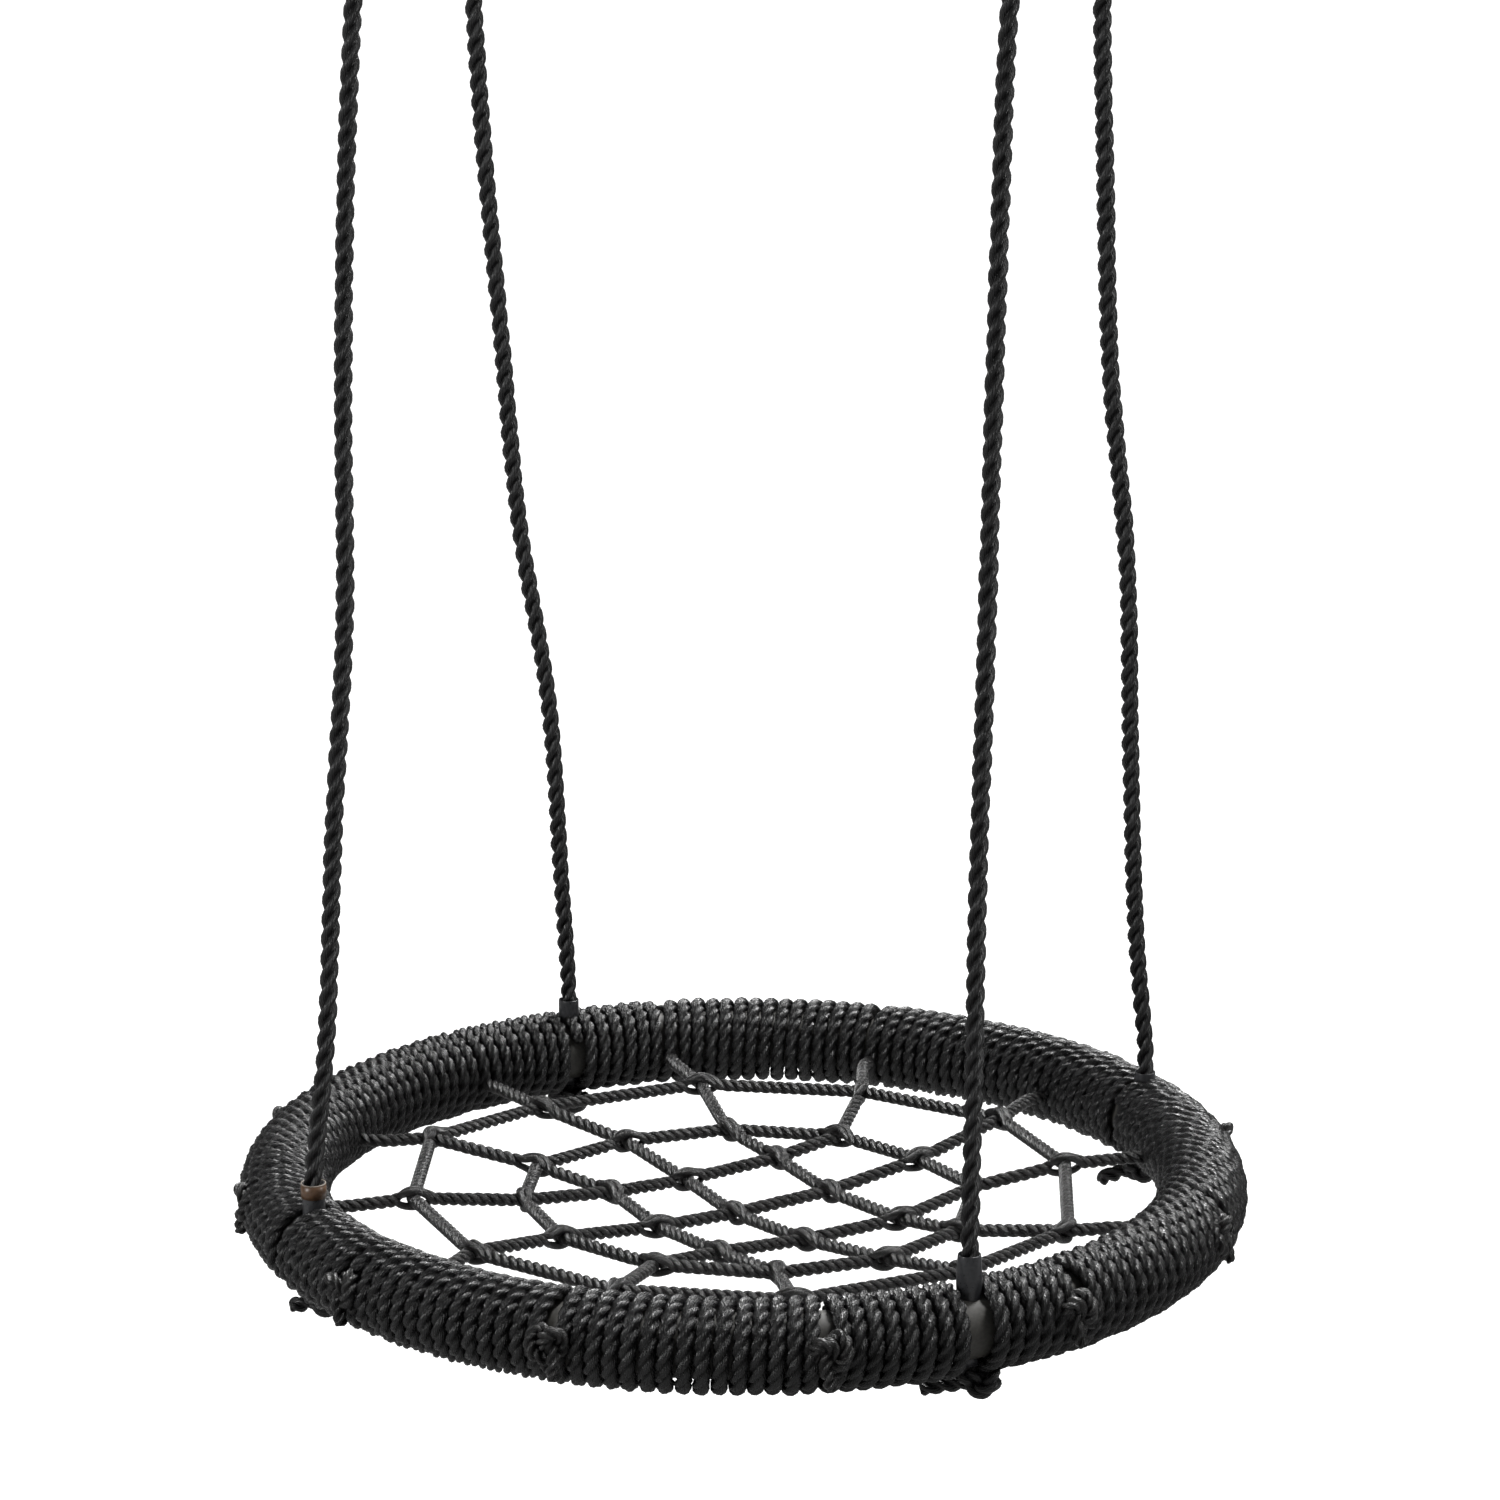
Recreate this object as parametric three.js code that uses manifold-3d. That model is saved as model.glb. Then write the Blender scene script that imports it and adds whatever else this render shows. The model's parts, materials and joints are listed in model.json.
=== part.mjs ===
// Saucer nest swing. Millimetres, +Z up. The origin is midway between the two hanger pins,
// on the axis that the swing turns about, and X runs along that axis.
import * as THREE from "three";
import Module from "manifold-3d";

const wasm = await Module();
wasm.setup();

// Ring
const HANG_DROP = 2000; // hang axis to the ring's middle plane
const RING_RADIUS = 455; // centre line of the tube
const CORE_RADIUS = 30.15; // 60.3 mm steel tube
const CORE_WALL = 2.9;
const WRAP_INNER = 30.6;
const WRAP_OUTER = 45.4;
const RING_STEPS = 48;
const RING_SIDES = 12;

// Net
// Where the net's cords are tied to the ring, by azimuth
const ANCHORS = [0, 30, 60, 90, 120, 150, 180, 209, 241, 268.5, 298.3, 329];
const ANCHOR_DROP = 5; // the net's holes are this far below the ring's middle plane
const CORD_RADIUS = 5.75;
const CORD_STEP = 34;
const CORD_SIDES = 8;
const LAYER = 6.1; // crossing cords lie this far above and below the net's surface
const NET_HOLE = 7;
const TAUT = 16; // a cord bends only this near to a crossing
const KNOT_HEIGHT = 3; // end knot's middle above the ring's middle plane
const KNOT_START = 500.8;
const KNOT_LENGTH = 25;
const KNOT_RADIUS = 14.5;

// Hanging ropes
const ROPE_RADIUS = 9.2;
const ROPE_SIDES = 8;
const ROPE_STEP = 42;
const EYE_STEP = 11;
const SLEEVE_INNER = 9.5;
const SLEEVE_OUTER = 10.8;
const SLEEVE_BOTTOM = -36;
const SLEEVE_HOLE = 11.2;
const TAPE_INNER = 11.1;
const TAPE_OUTER = 12;
const TAPE_BOTTOM = 46.5;
const ROPE_SPLIT = 69; // the rope bends here as the swing sways, so it is two stretches
const SPLIT_GAP = 4;
const STOPPER_TOP = -46;
const STOPPER_HEIGHT = 34;
const STOPPER_RADIUS = 20;

// Hang fittings
const HANG_HALF_SPAN = RING_RADIUS * Math.SQRT1_2; // the ropes hang in upright planes
const PIN_RADIUS = 5;
const CHEEK_GAP = 11; // pin's middle to a cheek's inner face
const CHEEK_THICKNESS = 5;
const CHEEK_HALF_WIDTH = 15;
const PLATE_BOTTOM = 34;
const PLATE_THICKNESS = 6;
const PLATE_LENGTH = 90;
const PLATE_WIDTH = 56;
const BARREL_RADIUS = 11;
const BARREL_BORE = 5.5;
const BARREL_HALF_WIDTH = 10;
const EYE_BAR = 5.5;
const HANGER_EYE_RADIUS = 17;
const HANGER_EYE_DROP = 31;
const LINK_BAR = 5;
const LINK_TOP = HANGER_EYE_DROP + HANGER_EYE_RADIUS - EYE_BAR - LINK_BAR - 0.4;
const LINK_DROP = 60; // top bar to bottom bar, centre to centre
const THIMBLE_BORE = 11;
const THIMBLE_HALF_WIDTH = 10;
const THIMBLE_PITCH = 24;
const THIMBLE_DROP = LINK_TOP + LINK_DROP + THIMBLE_BORE - LINK_BAR - 0.4;
const EYE_RADIUS = 24.6; // rope centre line round the thimble
const THROAT_HALF = 9.6; // half the distance between the two legs of an eye
const THROAT_START = 62;
const EYE_START = 92; // the standing rope and its eye meet here, inside the seizing
const TAIL_END = 132;
const SEIZING_START = 68;
const SEIZING_LENGTH = 50;
const SEIZING_WALL = 2.1;

const BLACK_ROPE = new THREE.MeshStandardMaterial({ name: "black_rope", color: 0x1d1e21, roughness: 0.8 });
const HOSE = new THREE.MeshStandardMaterial({ name: "black_hose", color: 0x232427, roughness: 0.5 });
const GREY_TUBE = new THREE.MeshStandardMaterial({ name: "grey_tube", color: 0x6d6a66, roughness: 0.6 });
const TAPE = new THREE.MeshStandardMaterial({ name: "brown_tape", color: 0x6a4a33, roughness: 0.6 });
const STEEL = new THREE.MeshStandardMaterial({
  name: "zinc_steel",
  color: 0xa9abad,
  roughness: 0.35,
  metalness: 0.9,
});

// The four hanging ropes: azimuth of the hole, bare tube left there between the wound ropes, which
// thimble place it takes, how far its sleeve stands above the ring's middle plane, the direction of
// the stopper knot's tail, and the free route between the sleeve and the eye, as x, y, z.
const HANGING = [
  {
    name: "front_left",
    azimuth: 225,
    gap: 22,
    place: "outer",
    sleeveTop: 65,
    tail: 215,
    route: [
      [-315, -300, -1800],
      [-318, -265, -1600],
      [-317, -231, -1400],
      [-329, -197, -1200],
      [-337, -162, -1000],
      [-338, -137, -850],
      [-336, -94, -600],
      [-334, -59, -400],
    ],
  },
  {
    name: "back_left",
    azimuth: 133.5,
    gap: 14,
    place: "inner",
    sleeveTop: 58,
    tail: 100,
    route: [
      [-312, 308, -1800],
      [-310, 272, -1600],
      [-327, 237, -1400],
      [-330, 202, -1200],
      [-332, 166, -1000],
      [-330, 140, -850],
      [-321, 96, -600],
      [-315, 61, -400],
    ],
  },
  {
    name: "front_right",
    azimuth: 316,
    gap: 20,
    place: "inner",
    sleeveTop: 70,
    tail: 205,
    route: [
      [323, -295, -1800],
      [315, -261, -1600],
      [310, -227, -1400],
      [304, -193, -1200],
      [299, -160, -1000],
      [296, -134, -850],
      [302, -92, -600],
      [307, -58, -400],
    ],
  },
  {
    name: "back_right",
    azimuth: 43.5,
    gap: 6,
    place: "outer",
    sleeveTop: 50,
    tail: 230,
    route: [
      [323, 292, -1800],
      [322, 258, -1600],
      [323, 225, -1400],
      [311, 192, -1200],
      [311, 158, -1000],
      [312, 133, -850],
      [321, 91, -600],
      [328, 58, -400],
    ],
  },
];

// Where the net's cords cross, as x, y from the ring's centre. The border and the inner ring go
// round from the anchor at azimuth 0, and the lattice is its three cords of one family in turn.
const BORDER = [
  [342, -25],
  [287, 161],
  [186, 278],
  [23, 316],
  [-146, 284],
  [-279, 158],
  [-348, 28],
  [-294, -147],
  [-182, -269],
  [-15, -320],
  [150, -291],
  [279, -165],
];
const INNER = [
  [230, -23],
  [209, 106],
  [132, 167],
  [32, 210],
  [-84, 192],
  [-171, 123],
  [-229, 22],
  [-204, -79],
  [-130, -167],
  [-18, -209],
  [101, -192],
  [188, -121],
];
const LATTICE = [
  [
    [-137, -7],
    [-62, -77],
    [22, -136],
  ],
  [
    [-83, 63],
    [-8, -5],
    [86, -65],
  ],
  [
    [-14, 146],
    [64, 77],
    [160, 12],
  ],
];
const BORDER_SAG = -6;
const INNER_SAG = -20;
const LATTICE_SAG = [
  [-28, -32, -28],
  [-32, -36, -32],
  [-28, -32, -28],
];
// The cords of each family by the anchors that they join. The upper family follows the lattice's
// rows, and the lower family its columns.
const UPPER_CORDS = [
  [6, 10],
  [5, 11],
  [4, 0],
];
const LOWER_CORDS = [
  [7, 3],
  [8, 2],
  [9, 1],
];

const group = new THREE.Group();
group.name = "saucer_nest_swing";

function addMesh(name, geometry, material) {
  const mesh = new THREE.Mesh(geometry, material);
  mesh.name = name;
  group.add(mesh);
}

function toSolid(geometry) {
  const position = geometry.getAttribute("position");
  const seen = new Map();
  const vertices = [];
  const remap = [];
  for (let i = 0; i < position.count; i += 1) {
    const point = [position.getX(i), position.getY(i), position.getZ(i)];
    const key = point.map((value) => Math.round(value * 1000)).join();
    if (!seen.has(key)) {
      seen.set(key, vertices.length / 3);
      vertices.push(...point);
    }
    remap.push(seen.get(key));
  }
  const index = geometry.index ? Array.from(geometry.index.array) : remap.map((_, i) => i);
  const triangles = [];
  for (let i = 0; i < index.length; i += 3) {
    const [a, b, c] = [remap[index[i]], remap[index[i + 1]], remap[index[i + 2]]];
    if (a !== b && b !== c && c !== a) {
      triangles.push(a, b, c);
    }
  }
  return new wasm.Manifold(
    new wasm.Mesh({
      numProp: 3,
      vertProperties: new Float32Array(vertices),
      triVerts: new Uint32Array(triangles),
    }),
  );
}

function fromSolid(solid) {
  const mesh = solid.getMesh();
  const geometry = new THREE.BufferGeometry();
  geometry.setAttribute("position", new THREE.BufferAttribute(new Float32Array(mesh.vertProperties), 3));
  geometry.setIndex(new THREE.BufferAttribute(new Uint32Array(mesh.triVerts), 1));
  geometry.computeVertexNormals();
  return geometry;
}

function radians(degrees) {
  return (degrees * Math.PI) / 180;
}

// A point by azimuth, radius and height above the ring's middle plane.
function ringPoint(azimuth, radius, height) {
  const angle = radians(azimuth);
  return new THREE.Vector3(radius * Math.cos(angle), radius * Math.sin(angle), height - HANG_DROP);
}

function roundShape(radius, sides) {
  const shape = new THREE.Shape();
  for (let i = 0; i < sides; i += 1) {
    const angle = (2 * Math.PI * (i + 0.5)) / sides;
    const [x, y] = [radius * Math.cos(angle), radius * Math.sin(angle)];
    if (i === 0) {
      shape.moveTo(x, y);
    } else {
      shape.lineTo(x, y);
    }
  }
  shape.closePath();
  return shape;
}

function cordTube(points, radius, sides, step) {
  const path = new THREE.CatmullRomCurve3(points);
  return new THREE.ExtrudeGeometry(roundShape(radius, sides), {
    steps: Math.round(path.getLength() / step),
    bevelEnabled: false,
    extrudePath: path,
  });
}

// A torus bent onto a closed curve. across is a direction that is square to the curve everywhere.
function closedTube(points, radius, sides, steps, across) {
  const path = new THREE.CatmullRomCurve3(points, true);
  const geometry = new THREE.TorusGeometry(2, 1, sides, steps);
  const position = geometry.getAttribute("position");
  for (let j = 0; j <= sides; j += 1) {
    for (let i = 0; i <= steps; i += 1) {
      const u = (i % steps) / steps;
      const angle = (2 * Math.PI * (j % sides)) / sides;
      const side = path.getTangent(u).cross(across).normalize();
      const up = side.clone().cross(path.getTangent(u));
      const point = path.getPoint(u);
      point.addScaledVector(side, radius * Math.cos(angle));
      point.addScaledVector(up, radius * Math.sin(angle));
      position.setXYZ(j * (steps + 1) + i, point.x, point.y, point.z);
    }
  }
  geometry.computeVertexNormals();
  return geometry;
}

// A solid of revolution about the line from start along direction.
function turned(profile, segments, start, direction) {
  const geometry = new THREE.LatheGeometry(
    profile.map(([r, along]) => new THREE.Vector2(r, along)),
    segments,
  );
  const turn = new THREE.Quaternion().setFromUnitVectors(new THREE.Vector3(0, 1, 0), direction);
  geometry.applyQuaternion(turn);
  geometry.translate(start.x, start.y, start.z);
  return geometry;
}

function rod(radius, sides, start, direction, length) {
  const profile = [
    [0, 0],
    [radius, 0],
    [radius, length],
    [0, length],
  ];
  return turned(profile, sides, start, direction);
}

// --- Ring: steel tube, four rope runs and the tape ---

function ringTorus(minor) {
  const geometry = new THREE.TorusGeometry(RING_RADIUS, minor, RING_SIDES, RING_STEPS);
  geometry.translate(0, 0, -HANG_DROP);
  return toSolid(geometry);
}

// A wedge between two azimuths, taller than the ring and clear of its centre.
function ringSector(from, to) {
  const corners = [];
  const pieces = Math.max(1, Math.round((to - from) / 15));
  for (let i = 0; i <= pieces; i += 1) {
    const angle = radians(from + ((to - from) * i) / pieces);
    corners.push(new THREE.Vector2(560 * Math.cos(angle), 560 * Math.sin(angle)));
  }
  for (const azimuth of [to, from]) {
    const angle = radians(azimuth);
    corners.push(new THREE.Vector2(300 * Math.cos(angle), 300 * Math.sin(angle)));
  }
  const geometry = new THREE.ExtrudeGeometry(new THREE.Shape(corners), { depth: 140, bevelEnabled: false });
  geometry.translate(0, 0, -HANG_DROP - 70);
  return toSolid(geometry);
}

function cutAll(solid, cutters) {
  return cutters.reduce((left, cutter) => left.subtract(cutter), solid);
}

const up = new THREE.Vector3(0, 0, 1);
const netHoles = [];
for (const azimuth of ANCHORS) {
  const outward = ringPoint(azimuth, 1, HANG_DROP);
  netHoles.push(toSolid(rod(NET_HOLE, 6, ringPoint(azimuth, 380, -ANCHOR_DROP), outward, 150)));
}
const ropeHoles = HANGING.map(({ azimuth }) =>
  toSolid(rod(SLEEVE_HOLE, 16, ringPoint(azimuth, RING_RADIUS, -60), up, 120)),
);

const coreOuter = ringTorus(CORE_RADIUS);
const coreInner = ringTorus(CORE_RADIUS - CORE_WALL);
addMesh("ring_tube", fromSolid(cutAll(coreOuter.subtract(coreInner), [...netHoles, ...ropeHoles])), GREY_TUBE);

// Each wound rope runs from one hanging rope's place to the next one's.
const wrap = cutAll(ringTorus(WRAP_OUTER).subtract(ringTorus(WRAP_INNER)), [...netHoles, ...ropeHoles]);
const [frontLeft, backLeft, frontRight, backRight] = HANGING;
const RUNS = [
  ["right", frontRight, backRight],
  ["back", backRight, backLeft],
  ["left", backLeft, frontLeft],
  ["front", frontLeft, frontRight],
];
function halfGap({ gap }) {
  return (Math.asin(gap / 2 / RING_RADIUS) * 180) / Math.PI;
}
for (const [side, first, last] of RUNS) {
  const from = first.azimuth + halfGap(first);
  const to = last.azimuth - halfGap(last);
  const sector = ringSector(from, to < from ? to + 360 : to);
  addMesh(`rope_wrap_${side}`, fromSolid(wrap.intersect(sector)), BLACK_ROPE);
}

// --- Hanging ropes with their sleeves, stopper knots and eyes ---

function eyeFrame({ azimuth, place }) {
  const hole = ringPoint(azimuth, RING_RADIUS, 0);
  const side = Math.sign(hole.x);
  const offset = place === "outer" ? THIMBLE_PITCH / 2 : -THIMBLE_PITCH / 2;
  const centre = new THREE.Vector3(side * (HANG_HALF_SPAN + offset), 0, -THIMBLE_DROP);
  const down = new THREE.Vector3(0, hole.y, hole.z - centre.z).normalize();
  const out = new THREE.Vector3(0, -down.z, down.y).multiplyScalar(Math.sign(hole.y));
  return { centre, down, out };
}

function eyePoint({ centre, down, out }, along, across) {
  return centre.clone().addScaledVector(down, along).addScaledVector(out, across);
}

function eyeRoute(frame) {
  const points = [EYE_START, 80].map((along) => eyePoint(frame, along, THROAT_HALF));
  points.push(eyePoint(frame, THROAT_START, THROAT_HALF + 0.1));
  for (let degrees = 72; degrees <= 288; degrees += 24) {
    const angle = radians(degrees);
    points.push(eyePoint(frame, EYE_RADIUS * Math.cos(angle), EYE_RADIUS * Math.sin(angle)));
  }
  points.push(eyePoint(frame, THROAT_START, -THROAT_HALF - 0.1));
  points.push(...[80, 105, TAIL_END].map((along) => eyePoint(frame, along, -THROAT_HALF)));
  return points;
}

function stadium(halfLength, radius) {
  const shape = new THREE.Shape();
  shape.absarc(halfLength, 0, radius, -Math.PI / 2, Math.PI / 2, false);
  shape.absarc(-halfLength, 0, radius, Math.PI / 2, (3 * Math.PI) / 2, false);
  shape.closePath();
  return shape;
}

const stopperProfile = [
  [0, -STOPPER_HEIGHT],
  [0.55 * STOPPER_RADIUS, -0.97 * STOPPER_HEIGHT],
  [0.95 * STOPPER_RADIUS, -0.72 * STOPPER_HEIGHT],
  [0.88 * STOPPER_RADIUS, -0.5 * STOPPER_HEIGHT],
  [STOPPER_RADIUS, -0.3 * STOPPER_HEIGHT],
  [0.6 * STOPPER_RADIUS, -0.03 * STOPPER_HEIGHT],
  [0, 0],
];
const thimbleProfile = [
  [THIMBLE_BORE, -THIMBLE_HALF_WIDTH],
  [20.5, -THIMBLE_HALF_WIDTH],
  [19.8, -8.6],
  [14, -3],
  [14, 3],
  [19.8, 8.6],
  [20.5, THIMBLE_HALF_WIDTH],
  [THIMBLE_BORE, THIMBLE_HALF_WIDTH],
  [THIMBLE_BORE, -THIMBLE_HALF_WIDTH],
];

for (const hanging of HANGING) {
  const { name, azimuth, sleeveTop, tail, route } = hanging;
  const hole = (height) => ringPoint(azimuth, RING_RADIUS, height);
  const frame = eyeFrame(hanging);

  const sleeveProfile = [
    [SLEEVE_INNER, SLEEVE_BOTTOM],
    [SLEEVE_OUTER, SLEEVE_BOTTOM],
    [SLEEVE_OUTER, sleeveTop],
    [SLEEVE_INNER, sleeveTop],
    [SLEEVE_INNER, SLEEVE_BOTTOM],
  ];
  addMesh(`sleeve_${name}`, turned(sleeveProfile, 16, hole(0), up), HOSE);
  if (name === "front_left") {
    const tapeProfile = [
      [TAPE_INNER, TAPE_BOTTOM],
      [TAPE_OUTER, TAPE_BOTTOM],
      [TAPE_OUTER, sleeveTop - 0.5],
      [TAPE_INNER, sleeveTop - 0.5],
      [TAPE_INNER, TAPE_BOTTOM],
    ];
    addMesh("tape_collar", turned(tapeProfile, 16, hole(0), up), TAPE);
  }

  const tailDirection = ringPoint(tail, 1, HANG_DROP - 0.15).normalize();
  const lump = toSolid(turned(stopperProfile, 12, hole(STOPPER_TOP), up));
  const end = toSolid(rod(ROPE_RADIUS, 8, hole(STOPPER_TOP - 0.6 * STOPPER_HEIGHT), tailDirection, 62));
  const foot = toSolid(rod(ROPE_RADIUS, 8, hole(STOPPER_TOP - 6), up, ROPE_SPLIT - STOPPER_TOP + 6));
  addMesh(`stopper_knot_${name}`, fromSolid(lump.add(end).add(foot)), BLACK_ROPE);

  const points = [hole(ROPE_SPLIT + SPLIT_GAP)];
  points.push(...route.map(([x, y, z]) => new THREE.Vector3(x, y, z)));
  points.push(...[170, 130, EYE_START + 0.4].map((along) => eyePoint(frame, along, THROAT_HALF)));
  addMesh(`hanging_rope_${name}`, cordTube(points, ROPE_RADIUS, ROPE_SIDES, ROPE_STEP), BLACK_ROPE);
  addMesh(`rope_eye_${name}`, cordTube(eyeRoute(frame), ROPE_RADIUS, ROPE_SIDES, EYE_STEP), BLACK_ROPE);

  addMesh(`thimble_${name}`, turned(thimbleProfile, 14, frame.centre, new THREE.Vector3(1, 0, 0)), STEEL);

  const seizing = stadium(THROAT_HALF, ROPE_RADIUS + 0.4 + SEIZING_WALL);
  seizing.holes.push(stadium(THROAT_HALF, ROPE_RADIUS + 0.4));
  const band = new THREE.ExtrudeGeometry(seizing, { depth: SEIZING_LENGTH, bevelEnabled: false, curveSegments: 6 });
  const across = frame.out.clone();
  band.applyMatrix4(new THREE.Matrix4().makeBasis(across, frame.down.clone().cross(across), frame.down));
  const start = eyePoint(frame, SEIZING_START, 0);
  band.translate(start.x, start.y, start.z);
  addMesh(`eye_seizing_${name}`, band, BLACK_ROPE);
}

// --- Links, swinging hanger eyes and fixed hanger plates ---

const LINK_OUTLINE = [
  [0, 0],
  [9, 0],
  [17, -4],
  [24, -18],
  [31, -36],
  [34, -50],
  [31, -57.5],
  [24, -60],
  [8, -60],
  [-8, -60],
  [-24, -60],
  [-31, -57.5],
  [-34, -50],
  [-31, -36],
  [-24, -18],
  [-17, -4],
  [-9, 0],
];
const alongX = new THREE.Vector3(1, 0, 0);
const barrelProfile = [
  [BARREL_BORE, -BARREL_HALF_WIDTH],
  [BARREL_RADIUS, -BARREL_HALF_WIDTH],
  [BARREL_RADIUS, BARREL_HALF_WIDTH],
  [BARREL_BORE, BARREL_HALF_WIDTH],
  [BARREL_BORE, -BARREL_HALF_WIDTH],
];

function cheek(x) {
  const shape = new THREE.Shape();
  shape.moveTo(-CHEEK_HALF_WIDTH, PLATE_BOTTOM + 1);
  shape.lineTo(-CHEEK_HALF_WIDTH, 0);
  shape.absarc(0, 0, CHEEK_HALF_WIDTH, Math.PI, 2 * Math.PI, false);
  shape.lineTo(CHEEK_HALF_WIDTH, PLATE_BOTTOM + 1);
  shape.closePath();
  const geometry = new THREE.ExtrudeGeometry(shape, {
    depth: CHEEK_THICKNESS,
    bevelEnabled: false,
    curveSegments: 8,
  });
  geometry.rotateX(Math.PI / 2);
  geometry.rotateZ(Math.PI / 2);
  geometry.translate(x, 0, 0);
  return toSolid(geometry);
}

for (const [side, x] of [
  ["left", -HANG_HALF_SPAN],
  ["right", HANG_HALF_SPAN],
]) {
  const outline = LINK_OUTLINE.map(([dx, z]) => new THREE.Vector3(x + dx, 0, z - LINK_TOP));
  addMesh(`link_${side}`, closedTube(outline, LINK_BAR, 8, 30, new THREE.Vector3(0, 1, 0)), STEEL);

  const eye = new THREE.TorusGeometry(HANGER_EYE_RADIUS, EYE_BAR, 8, 18);
  eye.rotateY(Math.PI / 2);
  eye.translate(x, 0, -HANGER_EYE_DROP);
  const barrel = toSolid(turned(barrelProfile, 16, new THREE.Vector3(x, 0, 0), alongX));
  const bore = toSolid(rod(BARREL_BORE, 16, new THREE.Vector3(x - 20, 0, 0), alongX, 40));
  addMesh(`hanger_eye_${side}`, fromSolid(toSolid(eye).subtract(bore).add(barrel)), STEEL);

  const plate = new THREE.BoxGeometry(PLATE_LENGTH, PLATE_WIDTH, PLATE_THICKNESS);
  plate.translate(x, 0, PLATE_BOTTOM + PLATE_THICKNESS / 2);
  const pinStart = new THREE.Vector3(x - CHEEK_GAP - CHEEK_THICKNESS - 4, 0, 0);
  const pin = toSolid(rod(PIN_RADIUS, 16, pinStart, alongX, 2 * (CHEEK_GAP + CHEEK_THICKNESS + 4)));
  const bracket = toSolid(plate)
    .add(cheek(x - CHEEK_GAP - CHEEK_THICKNESS))
    .add(cheek(x + CHEEK_GAP))
    .add(pin);
  addMesh(`hanger_plate_${side}`, fromSolid(bracket), STEEL);
}

// --- Net ---

function netPoint([x, y], height) {
  return new THREE.Vector3(x, y, height - HANG_DROP);
}

// A taut cord's route: straight from crossing to crossing, with a short bend at each.
function bendAt(previous, node, next) {
  return [previous, node, next].map((target) => {
    const away = new THREE.Vector3(target.x - node.x, target.y - node.y, 0);
    return node.clone().add(away.setLength(target === node ? 0 : TAUT));
  });
}

function crossingCord([start, finish], middle, layer) {
  const ends = [start, finish].map((k) => {
    const through = [500.2, 455, 412, 395].map((radius) => ringPoint(ANCHORS[k], radius, -ANCHOR_DROP));
    return [...through, netPoint(BORDER[k], BORDER_SAG + layer), netPoint(INNER[k], INNER_SAG + layer)];
  });
  const nodes = [...ends[0], ...middle, ...ends[1].reverse()];
  const points = nodes.flatMap((node, i) =>
    i < 4 || i > nodes.length - 5 ? [node] : bendAt(nodes[i - 1], node, nodes[i + 1]),
  );
  return cordTube(points, CORD_RADIUS, CORD_SIDES, CORD_STEP);
}

UPPER_CORDS.forEach((ends, row) => {
  const middle = [0, 1, 2].map((column) => netPoint(LATTICE[row][column], LATTICE_SAG[row][column] + LAYER));
  addMesh(`net_cord_upper_${row + 1}`, crossingCord(ends, middle, LAYER), BLACK_ROPE);
});
LOWER_CORDS.forEach((ends, column) => {
  const middle = [0, 1, 2].map((row) => netPoint(LATTICE[row][column], LATTICE_SAG[row][column] - LAYER));
  addMesh(`net_cord_lower_${column + 1}`, crossingCord(ends, middle, -LAYER), BLACK_ROPE);
});

// The two round cords pass under the upper family and over the lower one.
const upperAnchors = UPPER_CORDS.flat();
for (const [name, nodes, sag] of [
  ["net_inner_ring", INNER, INNER_SAG],
  ["net_border_ring", BORDER, BORDER_SAG],
]) {
  const corners = nodes.map((node, k) => netPoint(node, sag + (upperAnchors.includes(k) ? -LAYER : LAYER)));
  const points = corners.flatMap((corner, k) => bendAt(corners.at(k - 1), corner, corners[(k + 1) % corners.length]));
  addMesh(name, closedTube(points, CORD_RADIUS, CORD_SIDES, points.length, up), BLACK_ROPE);
}

const knotProfile = [
  [0, 0],
  [0.6 * KNOT_RADIUS, 0.03 * KNOT_LENGTH],
  [KNOT_RADIUS, 0.28 * KNOT_LENGTH],
  [0.97 * KNOT_RADIUS, 0.7 * KNOT_LENGTH],
  [0.5 * KNOT_RADIUS, 0.97 * KNOT_LENGTH],
  [0, KNOT_LENGTH],
];
ANCHORS.forEach((azimuth, k) => {
  const outward = ringPoint(azimuth, 1, HANG_DROP);
  const lump = toSolid(turned(knotProfile, 9, ringPoint(azimuth, KNOT_START, KNOT_HEIGHT), outward));
  const tailDirection = ringPoint(azimuth, 0.25, HANG_DROP - 1).normalize();
  const end = toSolid(rod(CORD_RADIUS, 6, ringPoint(azimuth, KNOT_START + 13, KNOT_HEIGHT), tailDirection, 27));
  addMesh(`net_knot_${String(30 * k).padStart(3, "0")}`, fromSolid(lump.add(end)), BLACK_ROPE);
});

export default group;
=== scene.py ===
import json
import math

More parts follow.
